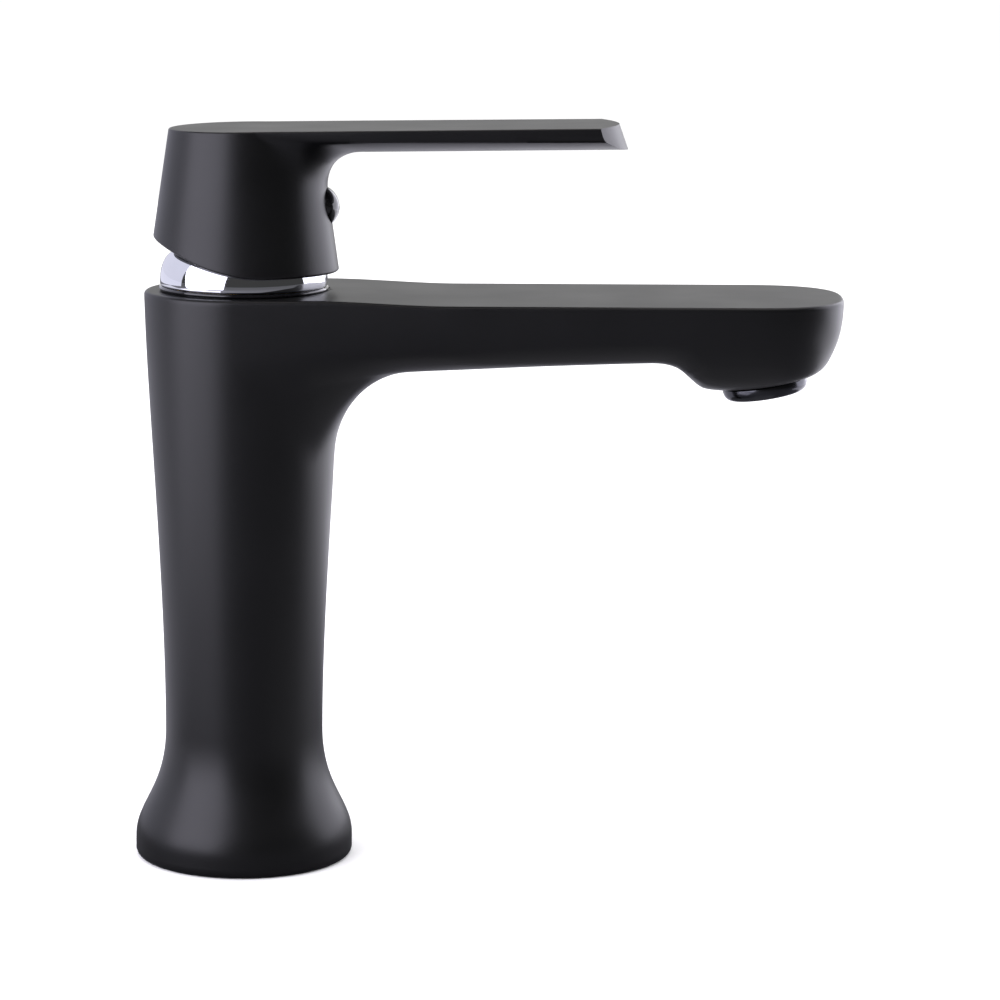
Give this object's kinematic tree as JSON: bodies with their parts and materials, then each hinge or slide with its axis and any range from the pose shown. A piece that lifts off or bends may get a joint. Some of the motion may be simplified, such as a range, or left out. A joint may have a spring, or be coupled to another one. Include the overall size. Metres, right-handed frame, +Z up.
{
  "type": "basin mixer tap",
  "caption": "Single-lever basin mixer: flared column with a flat cast spout, chrome cover ring, hood handle with a flat lever, ceramic cartridge and aerator.",
  "frame": {"origin": "centre of the foot, on the basin deck plane that the flat underside rests on", "axes": "+X along the spout and lever, away from the column; +Z up, along the column; +Y to the left seen from behind the column, where the hot inlet is"},
  "size_m": [0.1677, 0.0522, 0.1776],
  "materials": {
    "matte_black": "matte black powder coat, fine-grained satin sheen",
    "gloss_black": "glossy black moulded plastic",
    "chrome": "mirror-polished chrome plate",
    "dark_chrome": "dark glossy plated ring",
    "brass": "turned brass",
    "steel": "stainless steel",
    "rubber": "black sealing rubber",
    "ceramic": "lapped alumina ceramic",
    "white_plastic": "moulded acetal",
    "grey_plastic": "moulded acetal",
    "blue_plastic": "moulded glass-filled plastic"
  },
  "bodies": {
    "body": {"body_casting": "matte_black", "base_gasket": "rubber", "hot_inlet_seal": "rubber", "cold_inlet_seal": "rubber", "cartridge_base": "blue_plastic", "fixed_disc": "ceramic", "cartridge_housing": "white_plastic", "cartridge_seal": "rubber", "temperature_stop_ring": "blue_plastic", "clamp_nut": "brass", "ring_gasket": "gloss_black", "cover_ring": "chrome", "aerator_housing": "dark_chrome", "aerator_insert": "grey_plastic", "aerator_screen": "steel", "aerator_washer": "rubber"},
    "sleeve": {"turning_sleeve": "grey_plastic", "lever_pin": "steel"},
    "lever": {"handle": "matte_black", "spindle": "brass", "grub_screw": "steel", "index_plug": "gloss_black"},
    "valve_disc": {"moving_disc": "ceramic", "disc_carrier": "white_plastic"}
  },
  "joints": [
    {"name": "temperature_turn", "type": "hinge", "parent": "body", "child": "sleeve", "pos_m": [0, 0, 0.134], "axis": [0, 0, 1], "range_deg": [-45, 45]},
    {"name": "flow_lift", "type": "hinge", "parent": "sleeve", "child": "lever", "pos_m": [0, 0, 0.134], "axis": [0, -1, 0], "range_deg": [0, 25]},
    {"name": "disc_slide", "type": "slide", "parent": "sleeve", "child": "valve_disc", "axis": [1, 0, 0], "range_m": [0, 0.0051]}
  ],
  "couplings": [
    {"joint": "disc_slide", "follows": "flow_lift", "m_per_rad": 0.01141}
  ]
}
